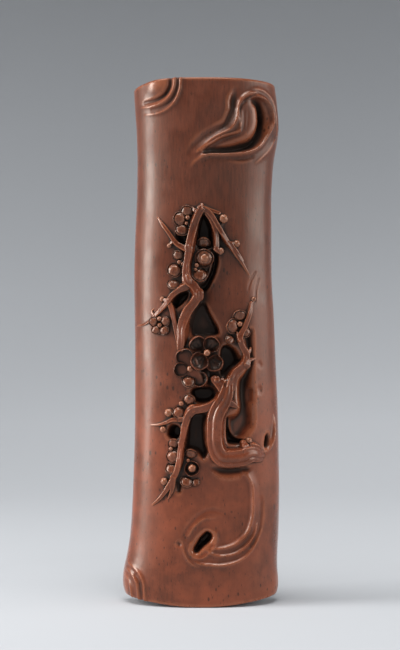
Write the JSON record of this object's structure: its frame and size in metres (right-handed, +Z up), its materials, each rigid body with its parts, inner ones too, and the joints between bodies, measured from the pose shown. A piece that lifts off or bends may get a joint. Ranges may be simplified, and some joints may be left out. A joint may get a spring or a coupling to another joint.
{
  "type": "wrist rest",
  "caption": "Calligrapher's wrist rest carved as a half-round length of old plum trunk, hollow behind, with a flowering bough in high relief.",
  "frame": {"origin": "middle of the foot end, under the middle of the whole carving", "axes": "+Z up along the trunk, as it stands in the picture; the carved face looks along -Y; the two feet that lie on the desk in use look along +Y; +X to the viewer's right"},
  "size_m": [0.0704, 0.0252, 0.233],
  "materials": {
    "boxwood_ground": "hand-polished, waxed, dark in the hollows",
    "boxwood_bough": "hand-polished, worn paler on the crests",
    "boxwood_blossom": "polished rims over darker tooled cups"
  },
  "bodies": {
    "root": {"trunk": "boxwood_ground", "root_bough": "boxwood_bough", "right_bough": "boxwood_bough", "blossom_stalk": "boxwood_bough", "left_bough": "boxwood_bough", "upper_bough": "boxwood_bough", "loop_bough": "boxwood_bough", "twin_strand": "boxwood_bough", "left_twig": "boxwood_bough", "long_twig": "boxwood_bough", "short_twig": "boxwood_bough", "apex_twig": "boxwood_bough", "spur_twig": "boxwood_bough", "side_twig": "boxwood_bough", "blossom_centre": "boxwood_blossom", "blossom_curl": "boxwood_blossom", "blossom_far_left": "boxwood_blossom", "blossom_large_lower": "boxwood_blossom", "blossom_large_upper": "boxwood_blossom", "blossom_left": "boxwood_blossom", "blossom_lower_left": "boxwood_blossom", "blossom_lower_right": "boxwood_blossom", "blossom_right": "boxwood_blossom", "blossom_top_left": "boxwood_blossom", "bud_apex": "boxwood_blossom", "bud_hollow_rim": "boxwood_blossom", "bud_left_twig": "boxwood_blossom", "bud_long_twig": "boxwood_blossom", "bud_loop": "boxwood_blossom", "bud_lower_bough": "boxwood_blossom", "bud_right_tip": "boxwood_blossom", "bud_root_inner": "boxwood_blossom", "bud_short_twig": "boxwood_blossom", "bud_side_twig": "boxwood_blossom"}
  },
  "joints": []
}
